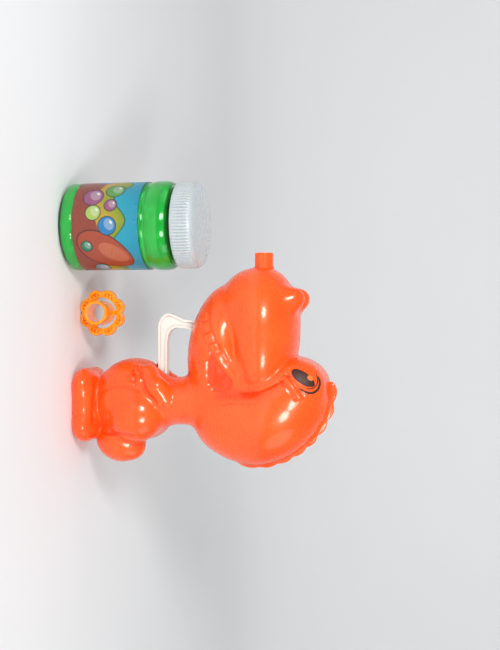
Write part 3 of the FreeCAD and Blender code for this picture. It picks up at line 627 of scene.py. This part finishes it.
def ring_field(p):
    """The scalloped ring with its collar, beads and three openings."""
    dx, dz = p[0] - RING[0], p[2] - RING[1]
    away = np.hypot(dx, dz)
    turn = np.arctan2(dz, dx)
    share = 2 * math.pi / LOBES
    local = np.abs((turn + math.pi / 2) % share - share / 2)
    lobes = np.hypot(away * np.cos(local) - LOBE_CIRCLE, away * np.sin(local)) - LOBE_R
    outline = melt(lobes, away - 9.6, 0.8)
    hole = np.maximum(away - RING_OPENING_R, COLLAR_R - away)
    for k in range(SPOKES):
        a = math.pi / 2 + 2 * math.pi * k / SPOKES
        ahead = dx * math.cos(a) + dz * math.sin(a) > 0
        beside = np.abs(-dx * math.sin(a) + dz * math.cos(a))
        hole = np.maximum(hole, SPOKE_HALF - np.where(ahead, beside, FAR_OUT))
    plate = np.maximum(outline + 0.3, np.abs(p[1]) - PLATE_HALF)
    rim = bar(outline + 0.95, p[1], 0.25, 1.5, 0.65)
    inner_rim = bar(away - 8.9, p[1], 0.15, 1.4, 0.55)
    body = melt(melt(plate, rim, 0.5), inner_rim, 0.5)
    for radius, count in BEAD_ROWS:
        spin = (turn % (2 * math.pi / count)) - math.pi / count
        bead = np.sqrt((away * np.cos(spin) - radius) ** 2 + (away * np.sin(spin)) ** 2
                       + (np.abs(p[1]) - PLATE_HALF) ** 2) - BEAD_R
        body = melt(body, np.maximum(bead, outline + 0.9), 0.2)
    body = np.maximum(body, -hole)
    collar = np.maximum(away - COLLAR_R, np.maximum(p[1] - 2.15, COLLAR_END - p[1]))
    lip = bar(away - 5.6, p[1] - COLLAR_END - 0.4, 0.3, 0, 0.4)
    body = melt(body, melt(collar, lip, 0.3), 0.8)
    return np.maximum(body, COLLAR_BORE - away)


RING_GRID = 0.22
low = (RING[0] - 14, -13.2, RING[1] - 14)
cells = grid(low, (RING[0] + 14, 3.4, RING[1] + 14), RING_GRID)
points, faces = surface_nets(ring_field(cells), low, RING_GRID)
ring = mesh_object("ring_scalloped", points, faces, 50)
# Painted shade: the ring's flat face between its rims and beads is tinted darker, as if in shade.
from_middle = np.abs(points[:, 1])
on_face = np.hypot(points[:, 0] - RING[0], points[:, 2] - RING[1]) > 9.2
note_painted_shade(ring, on_face * (from_middle > 1.2) * np.clip((2.1 - from_middle) / 0.5, 0, 1))
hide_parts("bubble_ring")
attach(ring, "ring")

# ---- bottle, cap and label ----------------------------------------------------------------

BOTTLE = (-96.5, -14.0)
RIBS, RIB_HEIGHT, RIBS_LOW, RIBS_TOP = 84, 0.4, 60.0, 69.4
LABEL_R, LABEL_LOW, LABEL_TOP = 23.0, 8.3, 43.3


def turned(name, profile, segments, ripple=None):
    """A closed (radius, z) outline turned about the bottle's axis; ripple moves the radius."""
    points, faces = [], []
    count = len(profile)
    for k in range(segments):
        a = 2 * math.pi * k / segments
        for radius, z in profile:
            r = radius + (ripple(radius, z, a) if ripple else 0.0)
            points.append((BOTTLE[0] + r * math.cos(a), BOTTLE[1] + r * math.sin(a), z))
    for k in range(segments):
        a, b = k * count, ((k + 1) % segments) * count
        for i in range(count):
            j = (i + 1) % count
            faces.append([a + i, b + i, b + j, a + j])
    return mesh_object(name, points, faces, 40)


CAP_OUT = [(20.9, 59.7), (21.9, 59.65), (22.2, 60.0), (22.2, 61.2), (22.2, 64.0), (22.2, 67.0),
           (22.15, 68.7), (21.95, 69.6), (21.5, 70.4), (20.8, 71.0), (19.8, 71.35), (17, 71.75),
           (12, 72.3), (6, 72.7), (0.05, 72.85)]
CAP_IN = [(0.05, 71.2), (14, 71.05), (19.6, 71.0), (20.5, 70.6), (20.75, 69.5), (20.7, 64),
          (20.7, 60.6)]


def cap_ribs(radius, z, a):
    """Fine upright ribs that fade out under the cap's shoulder."""
    if radius < 21.6 or z < RIBS_LOW + 0.1:
        return 0.0
    strength = min(1.0, max(0.0, (RIBS_TOP - z) / 0.9)) * min(1.0, (z - RIBS_LOW) / 0.5)
    return RIB_HEIGHT * strength * (2 * abs(math.cos(RIBS / 2 * a)) ** 1.4 - 1)


cap = turned("cap_ribbed", CAP_OUT + CAP_IN, 1008, cap_ribs)
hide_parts("cap")
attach(cap, "cap")


def blot(u, v, centre, long, short, lean=0.0):
    """1 inside an oval and 0 outside, with a narrow soft edge."""
    a = math.radians(lean)
    du, dv = u - centre[0], v - centre[1]
    lu = (du * math.cos(a) + dv * math.sin(a)) / long
    lv = (-du * math.sin(a) + dv * math.cos(a)) / short
    return np.clip((1 - np.hypot(lu, lv)) * min(long, short) / 0.25 + 0.5, 0, 1)


HILLS = [(-1, 9.5, 9.0), (-25, 10, 8.0), (33, 6, 9.0)]     # place, height and reach
DOME = ((15.5, 24.5), 15.5, 9.0, 55)                       # the big leaning oval
BALLS = [((1.5, 27.2), 5.0, (0.02, 0.22, 0.50)), ((-5.5, 19.5), 4.3, (0.42, 0.58, 0.12)),
         ((12.2, 15.4), 3.2, (0.02, 0.24, 0.12)), ((-19.5, 29.5), 5.2, (0.12, 0.36, 0.08)),
         ((-15.0, 18.5), 5.6, (0.34, 0.10, 0.22)), ((29, 20), 4.4, (0.10, 0.36, 0.42)),
         ((-34, 22), 6.0, (0.03, 0.22, 0.46)), ((42, 27), 6.2, (0.40, 0.52, 0.10)),
         ((-50, 30), 4.6, (0.36, 0.10, 0.24)), ((56, 17), 5.0, (0.03, 0.24, 0.14)),
         ((-63, 18), 4.0, (0.45, 0.34, 0.05)), ((-9.5, 28.5), 3.6, (0.34, 0.10, 0.22))]


def mixed(base, over, share):
    """Colours blended by a share per point."""
    return base + (np.array(over) - base) * share[:, None]


def landscape(u, v):
    """Sky, hills and ground, as one colour per point."""
    sky = np.clip((v - 18) / 26, 0, 1)
    colour = mixed(np.tile([0.03, 0.46, 0.60], (len(u), 1)), [0.01, 0.30, 0.45], sky)
    hill_line = 27 + 8 * np.exp(-((np.abs(u) - 58) / 12.0) ** 2)
    for place, rise, reach in HILLS:
        hill_line = hill_line + rise * np.exp(-((u - place) / reach) ** 2)
    hill = np.clip((hill_line - v) / 0.35 + 0.5, 0, 1)
    edge = np.clip((hill_line + 0.7 - v) / 0.3 + 0.5, 0, 1)
    shade = np.clip((hill_line - v) / 10, 0, 1)
    colour = mixed(colour, [0.02, 0.12, 0.06], edge)
    grass = mixed(np.tile([0.20, 0.33, 0.02], (len(u), 1)), [0.55, 0.36, 0.03], shade)
    colour = mixed(colour, grass, hill)
    ground_line = 21.5 + 2.0 * np.sin(u / 7.0)
    return mixed(colour, [0.30, 0.06, 0.035], np.clip((ground_line - v) / 0.4 + 0.5, 0, 1))


def label_colours(u, v):
    """The generic landscape with bubbles that is printed on the label."""
    colour = landscape(u, v)
    centre, long, short, lean = DOME
    colour = mixed(colour, [0.10, 0.02, 0.02], blot(u, v, centre, long + 0.7, short + 0.7, lean))
    colour = mixed(colour, [0.42, 0.075, 0.035], blot(u, v, centre, long, short, lean))
    colour = mixed(colour, [0.60, 0.17, 0.08], blot(u, v, (16.5, 29), 8.5, 4.6, lean) * 0.8)
    for (x, z), size, tint in BALLS:
        colour = mixed(colour, [0.02, 0.03, 0.06], blot(u, v, (x, z), size, size))
        colour = mixed(colour, list(tint), blot(u, v, (x, z), size - 0.45, size - 0.45))
        lighter = [0.35 + 0.6 * channel for channel in tint]
        glow = blot(u, v, (x - 0.15 * size, z + 0.2 * size), 0.62 * size, 0.5 * size, 30)
        colour = mixed(colour, lighter, 0.6 * glow)
        glint = blot(u, v, (x - 0.35 * size, z + 0.42 * size), 0.2 * size, 0.12 * size, 40)
        colour = mixed(colour, [0.85, 0.9, 0.9], 0.9 * glint)
    return 0.74 * colour


def label_piece():
    """The wrap label as a fine tube, with its print as one colour per vertex."""
    segments, rows = 720, 176
    z = np.linspace(LABEL_LOW, LABEL_TOP, rows)
    a = np.linspace(0, 2 * math.pi, segments, endpoint=False)
    grid_a, grid_z = np.meshgrid(a, z, indexing="ij")
    points = np.stack([BOTTLE[0] + LABEL_R * np.cos(grid_a).ravel(),
                       BOTTLE[1] + LABEL_R * np.sin(grid_a).ravel(), grid_z.ravel()], axis=1)
    index = np.arange(segments * rows).reshape(segments, rows)
    right = np.roll(index, -1, axis=0)
    faces = np.stack([index[:, :-1], right[:, :-1], right[:, 1:], index[:, 1:]],
                     axis=-1).reshape(-1, 4)
    obj = mesh_object("label_print", points, faces)
    u = ((grid_a.ravel() + math.pi / 2 + math.pi) % (2 * math.pi) - math.pi) * LABEL_R
    colours = label_colours(u, grid_z.ravel())
    layer = obj.data.color_attributes.new("print", "FLOAT_COLOR", "POINT")
    rgba = np.concatenate([colours, np.ones((len(colours), 1))], axis=1)
    layer.data.foreach_set("color", rgba.astype(np.float32).ravel())
    thick = obj.modifiers.new("foil", "SOLIDIFY")
    thick.thickness = 0.0002
    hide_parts("bottle_label")
    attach(obj, "bottle")
    return obj


label = label_piece()

LIQUID = [(0.05, 1.0), (18.6, 1.0), (21.0, 1.4), (22.2, 2.4), (22.6, 3.8), (22.5, 7.2), (22.35, 7.6),
          (22.35, 44.0), (22.45, 44.3), (21.8, 45.2), (21.8, 46.2), (22.6, 47.5), (22.9, 49.5),
          (22.9, 53.0), (22.5, 55.2), (21.6, 56.9), (20.6, 57.0), (0.05, 56.9)]
liquid = turned("solution_fill", LIQUID, 360)
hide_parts("solution")
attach(liquid, "bottle")

# ---- materials ----------------------------------------------------------------------------

def new_material(name):
    """A material, its node tree and its shader."""
    made = bpy.data.materials.new(name)
    made.use_nodes = True
    tree = made.node_tree
    return made, tree, tree.nodes["Principled BSDF"]


def object_coords(tree):
    """Object coordinates, which stay with a piece as it moves."""
    return tree.nodes.new("ShaderNodeTexCoord").outputs["Object"]


def noise(tree, coords, scale, detail=3.0, stretch=(1, 1, 1)):
    """Noise in object coordinates, stretched along the axes."""
    node = tree.nodes.new("ShaderNodeTexNoise")
    node.inputs["Scale"].default_value = scale
    node.inputs["Detail"].default_value = detail
    move = tree.nodes.new("ShaderNodeMapping")
    move.inputs["Scale"].default_value = stretch
    tree.links.new(coords, move.inputs["Vector"])
    tree.links.new(move.outputs["Vector"], node.inputs["Vector"])
    return node.outputs["Fac"]


def ranged(tree, value, low, high, start=0.3, stop=0.7):
    """A value moved from start to stop into low to high."""
    node = tree.nodes.new("ShaderNodeMapRange")
    node.inputs["From Min"].default_value = start
    node.inputs["From Max"].default_value = stop
    node.inputs["To Min"].default_value = low
    node.inputs["To Max"].default_value = high
    tree.links.new(value, node.inputs["Value"])
    return node.outputs["Result"]


def blended(tree, share, a, b):
    """A colour mix of a and b; the node is returned so that either can be fed instead."""
    node = tree.nodes.new("ShaderNodeMix")
    node.data_type = "RGBA"
    node.inputs["A"].default_value = (*a, 1)
    node.inputs["B"].default_value = (*b, 1)
    tree.links.new(share, node.inputs["Factor"])
    return node


def bumped(tree, shader, value, distance, under=None):
    """A bump on the shader, over another bump if one is given."""
    node = tree.nodes.new("ShaderNodeBump")
    node.inputs["Distance"].default_value = distance
    node.inputs["Strength"].default_value = 1.0
    tree.links.new(value, node.inputs["Height"])
    if under:
        tree.links.new(under.outputs["Normal"], node.inputs["Normal"])
    tree.links.new(node.outputs["Normal"], shader.inputs["Normal"])
    return node


def moulded(name, colour, other, rough, grain=0.00002, swell=0.00006, milk=0.0, radius=0.002,
            coat=0.0, spots=55.0, painted_shade_colour=None):
    """Moulded plastic: uneven tint, sink marks, fine grain, handling scuffs.

    Painted shade: where the vertices are marked as lying in a recess, the colour goes over to the
    given darker shade colour.
    """
    made, tree, shader = new_material(name)
    coords = object_coords(tree)
    cloud = noise(tree, coords, spots, 4)
    tint = blended(tree, ranged(tree, cloud, 0, 1), colour, other)
    # Painted shade: the colour goes darker where the vertices lie in recesses.
    if painted_shade_colour:
        hollow = tree.nodes.new("ShaderNodeAttribute")
        hollow.attribute_name = "hollow"
        painted_shade_mix = blended(tree, hollow.outputs["Fac"], colour, painted_shade_colour)
        tree.links.new(tint.outputs["Result"], painted_shade_mix.inputs["A"])
        tint = painted_shade_mix
    tree.links.new(tint.outputs["Result"], shader.inputs["Base Color"])
    scuff = noise(tree, coords, 420, 6, (1, 1, 3.5))
    tree.links.new(ranged(tree, scuff, rough[0], rough[1], 0.35, 0.75), shader.inputs["Roughness"])
    sink = bumped(tree, shader, noise(tree, coords, 38, 1), swell)
    bumped(tree, shader, noise(tree, coords, 1500, 2), grain, sink)
    shader.inputs["Subsurface Weight"].default_value = milk
    shader.inputs["Subsurface Scale"].default_value = radius
    shader.inputs["Subsurface Radius"].default_value = (1.0, 0.45, 0.25)
    shader.inputs["Coat Weight"].default_value = coat
    shader.inputs["Coat Roughness"].default_value = 0.08
    return made


def metal(name, colour, rough, streak):
    """Bare metal with fine drawn or ground lines."""
    made, tree, shader = new_material(name)
    coords = object_coords(tree)
    tint = blended(tree, ranged(tree, noise(tree, coords, 160, 3), 0, 1), colour,
                   [0.82 * c for c in colour])
    tree.links.new(tint.outputs["Result"], shader.inputs["Base Color"])
    lines = noise(tree, coords, 900, 4, streak)
    tree.links.new(ranged(tree, lines, rough[0], rough[1]), shader.inputs["Roughness"])
    bumped(tree, shader, lines, 0.00001)
    shader.inputs["Metallic"].default_value = 1.0
    return made


# The casing's recesses are painted a darker red, as painted shade.
casing = moulded("orange_casing", (1.0, 0.104, 0.009), (1.0, 0.08, 0.005), (0.25, 0.38),
                 milk=0.25, radius=0.004, coat=0.45, painted_shade_colour=(1.0, 0.045, 0.0))
gloss = casing.node_tree.nodes["Principled BSDF"].inputs
gloss["Specular IOR Level"].default_value = 0.55
gloss["Specular Tint"].default_value = (1.0, 0.78, 0.6, 1.0)
white = moulded("white_trigger", (0.78, 0.74, 0.68), (0.70, 0.66, 0.60), (0.3, 0.45), milk=0.2)
inner = moulded("plain_inner", (0.66, 0.66, 0.63), (0.58, 0.58, 0.55), (0.42, 0.6))
nylon = moulded("natural_nylon", (0.78, 0.76, 0.66), (0.70, 0.67, 0.56), (0.4, 0.55), milk=0.25)
blue = moulded("blue_fan", (0.05, 0.17, 0.52), (0.04, 0.13, 0.44), (0.35, 0.5))
# The ring's flat face is painted a darker orange, as painted shade.
yellow = moulded("yellow_ring", (0.96, 0.33, 0.006), (0.93, 0.25, 0.004), (0.16, 0.28), milk=0.05,
                 coat=0.4, painted_shade_colour=(0.9, 0.13, 0.0))
yellow.node_tree.nodes["Principled BSDF"].inputs["Specular Tint"].default_value = (1, 0.8, 0.35, 1)
milky = moulded("milky_cap", (0.48, 0.53, 0.55), (0.43, 0.48, 0.50), (0.24, 0.38), grain=0.000004,
                milk=0.35, radius=0.003, coat=0.5)
soft = moulded("foam_liner", (0.80, 0.80, 0.78), (0.74, 0.74, 0.72), (0.7, 0.85), grain=0.0001)
ink = moulded("brown_ink", (0.052, 0.011, 0.006), (0.032, 0.007, 0.004), (0.45, 0.6))
shine = moulded("orange_ink", (0.95, 0.20, 0.04), (0.85, 0.14, 0.03), (0.25, 0.4))
steel = metal("ground_steel", (0.60, 0.60, 0.61), (0.22, 0.4), (1, 30, 1))
zinc = metal("plated_screws", (0.62, 0.61, 0.57), (0.28, 0.45), (6, 6, 6))
spring = metal("spring_wire", (0.42, 0.42, 0.43), (0.25, 0.38), (4, 20, 4))
brass = metal("brass_bush", (0.72, 0.50, 0.20), (0.25, 0.42), (1, 12, 1))


def clear_bottle():
    """Clear blown plastic, a little uneven."""
    made, tree, shader = new_material("clear_bottle")
    coords = object_coords(tree)
    shader.inputs["Base Color"].default_value = (0.96, 1.0, 0.97, 1)
    shader.inputs["Transmission Weight"].default_value = 1.0
    shader.inputs["IOR"].default_value = 1.08
    shader.inputs["Coat Weight"].default_value = 0.7
    shader.inputs["Coat Roughness"].default_value = 0.04
    tree.links.new(ranged(tree, noise(tree, coords, 260, 4), 0.03, 0.1),
                   shader.inputs["Roughness"])
    bumped(tree, shader, noise(tree, coords, 70, 2, (1, 1, 2.5)), 0.0002)
    return made


def green_liquid():
    """Bright green bubble solution."""
    made, tree, shader = new_material("green_solution")
    coords = object_coords(tree)
    tint = blended(tree, ranged(tree, noise(tree, coords, 45, 3, (1, 1, 2)), 0, 1),
                   (0.0, 0.37, 0.028), (0.0, 0.44, 0.042))
    tree.links.new(tint.outputs["Result"], shader.inputs["Base Color"])
    tree.links.new(ranged(tree, noise(tree, coords, 300, 2), 0.06, 0.12),
                   shader.inputs["Roughness"])
    shader.inputs["Subsurface Weight"].default_value = 0.5
    shader.inputs["Subsurface Scale"].default_value = 0.006
    shader.inputs["Subsurface Radius"].default_value = (0.2, 1.0, 0.3)
    return made


def label_print():
    """Gloss print with a faint dot grain."""
    made, tree, shader = new_material("label_print")
    layer = tree.nodes.new("ShaderNodeVertexColor")
    layer.layer_name = "print"
    coords = object_coords(tree)
    grain = ranged(tree, noise(tree, coords, 2200, 2), 0.88, 1.06)
    scale = tree.nodes.new("ShaderNodeVectorMath")
    scale.operation = "SCALE"
    tree.links.new(layer.outputs["Color"], scale.inputs[0])
    tree.links.new(grain, scale.inputs["Scale"])
    tree.links.new(scale.outputs["Vector"], shader.inputs["Base Color"])
    tree.links.new(ranged(tree, noise(tree, coords, 120, 3), 0.22, 0.38),
                   shader.inputs["Roughness"])
    bumped(tree, shader, noise(tree, coords, 90, 2), 0.0001)
    return made


def dress(obj, made):
    """Gives an object one material."""
    obj.data.materials.clear()
    obj.data.materials.append(made)


FINISH = {
    "nozzle_tube": casing, "shell_screws": zinc, "gearbox_screws": zinc, "fan_cover_screws": zinc,
    "air_duct": inner, "gear_plate_left": inner, "gear_plate_right": inner, "plate_posts": inner,
    "fan_housing": inner, "fan_cover": inner, "trigger": white, "trigger_pin": steel,
    "trigger_spring": spring, "gear_one": nylon, "gear_two": nylon, "fan_pinion": nylon,
    "gear_one_axle": steel, "gear_two_axle": steel, "fan_axle": steel, "fan_bush_left": brass,
    "fan_bush_right": brass, "impeller": blue, "bottle": clear_bottle(),
    "cap_liner": soft,
}
for node, made in FINISH.items():
    dress(nodes[node], made)
for obj, made in ((casing_left, casing), (casing_right, casing), (ring, yellow), (cap, milky),
                  (label, label_print()), (liquid, green_liquid())):
    dress(obj, made)
for obj in eye_dark + eye_lines:
    dress(obj, ink)
for obj in eye_shine:
    dress(obj, shine)

# ---- stage, lights and camera -------------------------------------------------------------

def sweep():
    """Pale seamless floor that curves up into a backdrop."""
    front, bend, curve_r, top, steps, half_width = -900, 350, 250, 1600, 12, 1500
    line = [(front, 0.0), (bend, 0.0)]
    for k in range(1, steps + 1):
        a = math.pi / 2 * k / steps
        line.append((bend + curve_r * math.sin(a), curve_r * (1 - math.cos(a))))
    line.append((bend + curve_r, top))
    points = []
    for x in (-half_width, half_width):
        points += [(x, y, z - 0.02) for y, z in line]
    n = len(line)
    faces = [[k, n + k, n + k + 1, k + 1] for k in range(n - 1)]
    obj = mesh_object("backdrop", points, faces)
    dress(obj, moulded("backdrop_paper", (0.80, 0.81, 0.82), (0.77, 0.78, 0.79), (0.8, 0.9),
                       grain=0.0, swell=0.0, spots=3.0))


def lamp(name, where, target, size, power, mirrored=True):
    """An oval area lamp; an unmirrored one gives no highlight."""
    data = bpy.data.lights.new(name, "AREA")
    data.shape = "ELLIPSE"
    data.size, data.size_y = size
    data.energy = power
    obj = bpy.data.objects.new(name, data)
    bpy.context.scene.collection.objects.link(obj)
    obj.location = where
    aim = Vector(target) - Vector(where)
    obj.rotation_euler = aim.to_track_quat("-Z", "Y").to_euler()
    obj.visible_glossy = mirrored
    return obj


sweep()
lamp("key_left", (-0.365, -0.72, 0.41), (-0.03, 0, 0.09), (0.25, 0.22), 4.2)
lamp("key_right", (0.275, -0.72, 0.41), (-0.03, 0, 0.09), (0.25, 0.22), 3.2)
lamp("top", (-0.02, -0.1, 0.9), (-0.04, 0, 0.08), (0.5, 0.5), 1.3, False)
lamp("fill_front", (-0.9, -0.15, 0.35), (-0.04, 0, 0.08), (0.6, 0.6), 1.0, False)
lamp("fill_back", (0.85, -0.35, 0.4), (0, 0, 0.08), (0.6, 0.6), 1.3)

world = bpy.data.worlds.new("studio")
world.use_nodes = True
world.node_tree.nodes["Background"].inputs["Color"].default_value = (1, 1, 1, 1)
world.node_tree.nodes["Background"].inputs["Strength"].default_value = 0.3
bpy.context.scene.world = world

CAMERA_FAR, CAMERA_SPAN = 0.62, 0.343      # distance to the target, and the picture's long side there
CAMERA_TILT = math.radians(12)
view_c, view_s = math.cos(CAMERA_TILT), math.sin(CAMERA_TILT)
target = Vector((-0.0445, 0.0, 0.0939))
camera_data = bpy.data.cameras.new("camera")
camera_data.sensor_fit = "VERTICAL"
camera_data.sensor_height = 36.0
camera_data.lens = camera_data.sensor_height * CAMERA_FAR / CAMERA_SPAN
camera = bpy.data.objects.new("camera", camera_data)
bpy.context.scene.collection.objects.link(camera)
right, up, back = Vector((0, view_s, view_c)), Vector((-1, 0, 0)), Vector((0, -view_c, view_s))
turn = Matrix((right, up, back)).transposed().to_4x4()
camera.matrix_world = Matrix.Translation(target + back * CAMERA_FAR) @ turn
bpy.context.scene.camera = camera
bpy.context.scene.view_settings.view_transform = "Standard"
